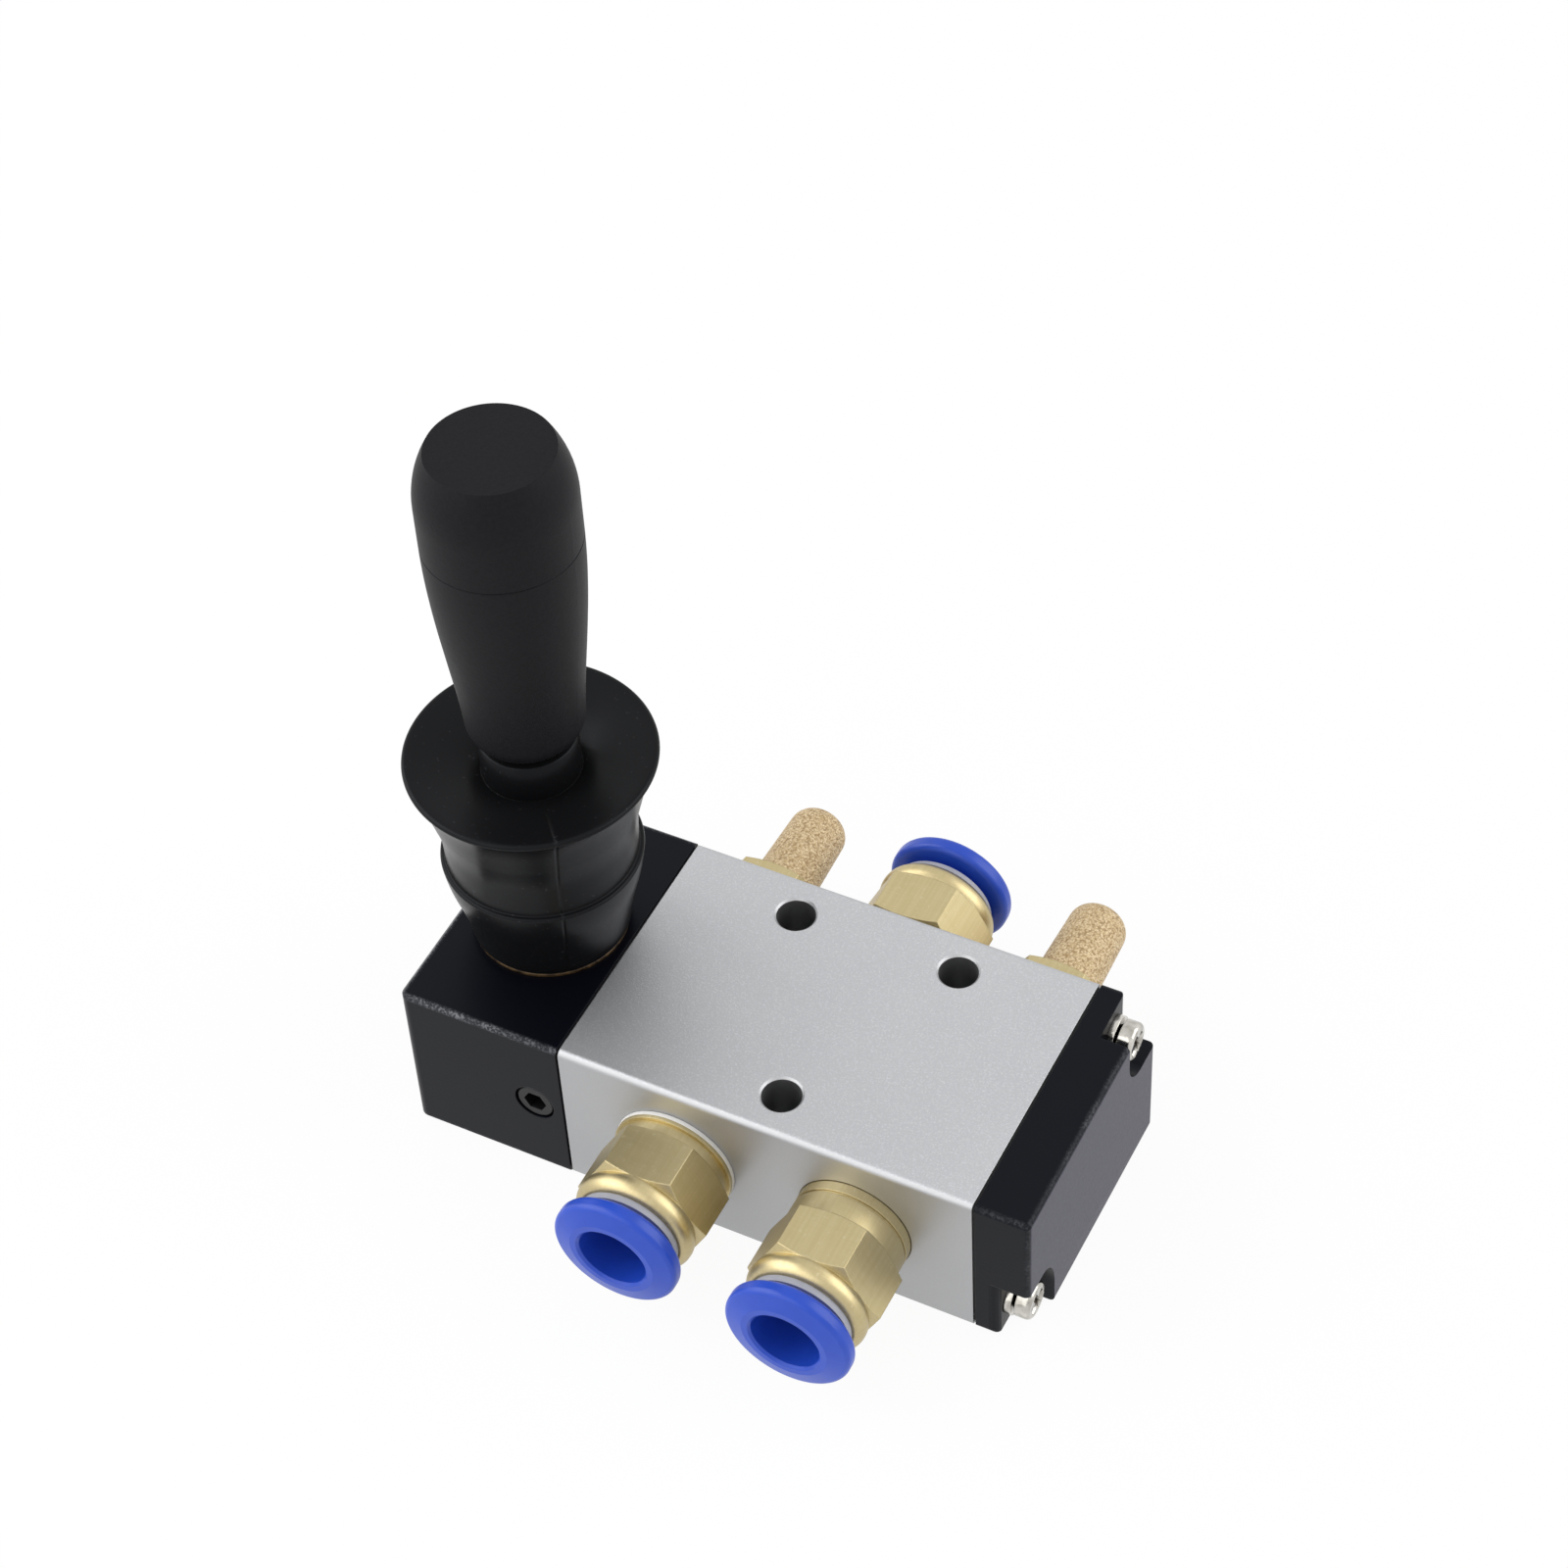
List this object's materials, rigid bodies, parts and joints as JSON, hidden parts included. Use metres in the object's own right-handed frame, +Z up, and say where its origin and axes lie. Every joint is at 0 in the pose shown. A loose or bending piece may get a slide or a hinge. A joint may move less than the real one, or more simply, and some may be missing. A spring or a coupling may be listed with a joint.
{
  "type": "hand lever air valve",
  "caption": "Five-port air valve with a hand lever: aluminium block, black end pieces, rubber boot, brass push-in tube fittings and bronze silencers.",
  "frame": {"origin": "centre of the valve block's bottom face, which the valve rests on", "axes": "+X along the spool towards the end cover, +Z up the lever, the two outlet fittings face -Y"},
  "size_m": [0.0822, 0.0699, 0.0947],
  "materials": {
    "aluminium_body": "bead blasted and clear anodised aluminium",
    "black_anodised": "black anodised aluminium with worn edges",
    "gasket": "black sheet rubber",
    "plated_steel": "nickel plated steel",
    "polished_steel": "ground steel",
    "black_steel": "black oxide steel",
    "amber_ring": "varnished brass ring",
    "boot_rubber": "moulded black rubber",
    "nylon": "natural nylon",
    "spool_aluminium": "turned aluminium",
    "seal_rubber": "nitrile rubber",
    "handle_black": "matt black moulded plastic",
    "brass": "turned brass",
    "grey_collar": "light grey moulded plastic",
    "blue_button": "blue moulded acetal",
    "sintered_bronze": "sintered bronze grains"
  },
  "bodies": {
    "valve": {"valve_body": "aluminium_body", "housing_gasket": "gasket", "cover_gasket": "gasket", "end_cover": "black_anodised", "cover_screws": "plated_steel", "cover_lock_washers": "plated_steel", "lever_housing": "black_anodised", "housing_screws": "plated_steel", "housing_lock_washers": "plated_steel", "detent_ball": "polished_steel", "detent_spring": "polished_steel", "detent_plug": "black_steel", "pivot_pin": "polished_steel", "boot_ring": "amber_ring", "boot": "boot_rubber", "fitting_a_washer": "nylon", "fitting_a_body": "brass", "fitting_a_guide_ring": "grey_collar", "fitting_a_grip_ring": "polished_steel", "fitting_a_tube_seal": "seal_rubber", "fitting_b_body": "brass", "fitting_b_guide_ring": "grey_collar", "fitting_b_grip_ring": "polished_steel", "fitting_b_tube_seal": "seal_rubber", "fitting_p_body": "brass", "fitting_p_guide_ring": "grey_collar", "fitting_p_grip_ring": "polished_steel", "fitting_p_tube_seal": "seal_rubber", "silencer_s_base": "brass", "silencer_s_element": "sintered_bronze", "silencer_r_base": "brass", "silencer_r_element": "sintered_bronze"},
    "lever": {"lever_rod": "polished_steel", "handle_grip": "handle_black", "handle_cap": "handle_black"},
    "spool": {"spool": "spool_aluminium", "spool_seals": "seal_rubber"},
    "button_a": {"fitting_a_button": "blue_button"},
    "button_b": {"fitting_b_button": "blue_button"},
    "button_p": {"fitting_p_button": "blue_button"}
  },
  "joints": [
    {"name": "lever_turn", "type": "hinge", "parent": "valve", "child": "lever", "pos_m": [-0.03555, 0, 0.0196], "axis": [0, 1, 0], "range_deg": [-13.5, 13.5], "deforming": ["boot"]},
    {"name": "spool_slide", "type": "slide", "parent": "valve", "child": "spool", "axis": [1, 0, 0], "range_m": [-0.00201, 0.00201]},
    {"name": "button_a_press", "type": "slide", "parent": "valve", "child": "button_a", "axis": [0, 1, 0], "range_m": [0, 0.0008], "stiffness_N_per_m": 500, "springref_m": -0.002},
    {"name": "button_b_press", "type": "slide", "parent": "valve", "child": "button_b", "axis": [0, 1, 0], "range_m": [0, 0.0008], "stiffness_N_per_m": 500, "springref_m": -0.002},
    {"name": "button_p_press", "type": "slide", "parent": "valve", "child": "button_p", "axis": [0, -1, 0], "range_m": [0, 0.0008], "stiffness_N_per_m": 500, "springref_m": -0.002}
  ],
  "couplings": [
    {"joint": "spool_slide", "follows": "lever_turn", "m_per_rad": -0.0085206}
  ]
}
